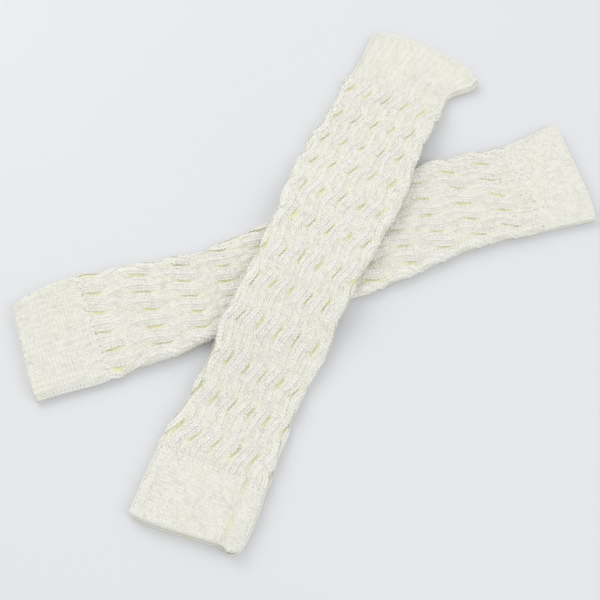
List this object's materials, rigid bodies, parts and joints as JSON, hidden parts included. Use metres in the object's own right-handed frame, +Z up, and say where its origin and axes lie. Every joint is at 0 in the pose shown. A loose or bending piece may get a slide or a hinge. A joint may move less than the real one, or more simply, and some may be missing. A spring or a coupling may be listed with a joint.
{
  "type": "pair of leg warmers",
  "caption": "Pair of chunky cable-knit leg warmers, open knitted tubes with ribbed cuffs, lying flat and crossed one over the other.",
  "frame": {"origin": "on the surface the pair lies on, under the middle of its bounding box, which is under the lower leg warmer near the crossing", "axes": "+Z up from the surface, +X to the viewer's right and +Y away from the viewer. The upper leg warmer runs at 65.7 degrees to +X and the lower one at 20.3 degrees"},
  "size_m": [0.4231, 0.4234, 0.0212],
  "materials": {
    "cable_knit": "soft matt ivory cable knit of thick brushed acrylic yarn",
    "rib_knit": "soft matt ivory rib knit of the same yarn"
  },
  "bodies": {
    "root": {"upper_near_cuff": "rib_knit", "upper_cable_body": "cable_knit", "upper_far_cuff": "rib_knit", "lower_left_cuff": "rib_knit", "lower_cable_body": "cable_knit", "lower_right_cuff": "rib_knit"}
  },
  "joints": []
}
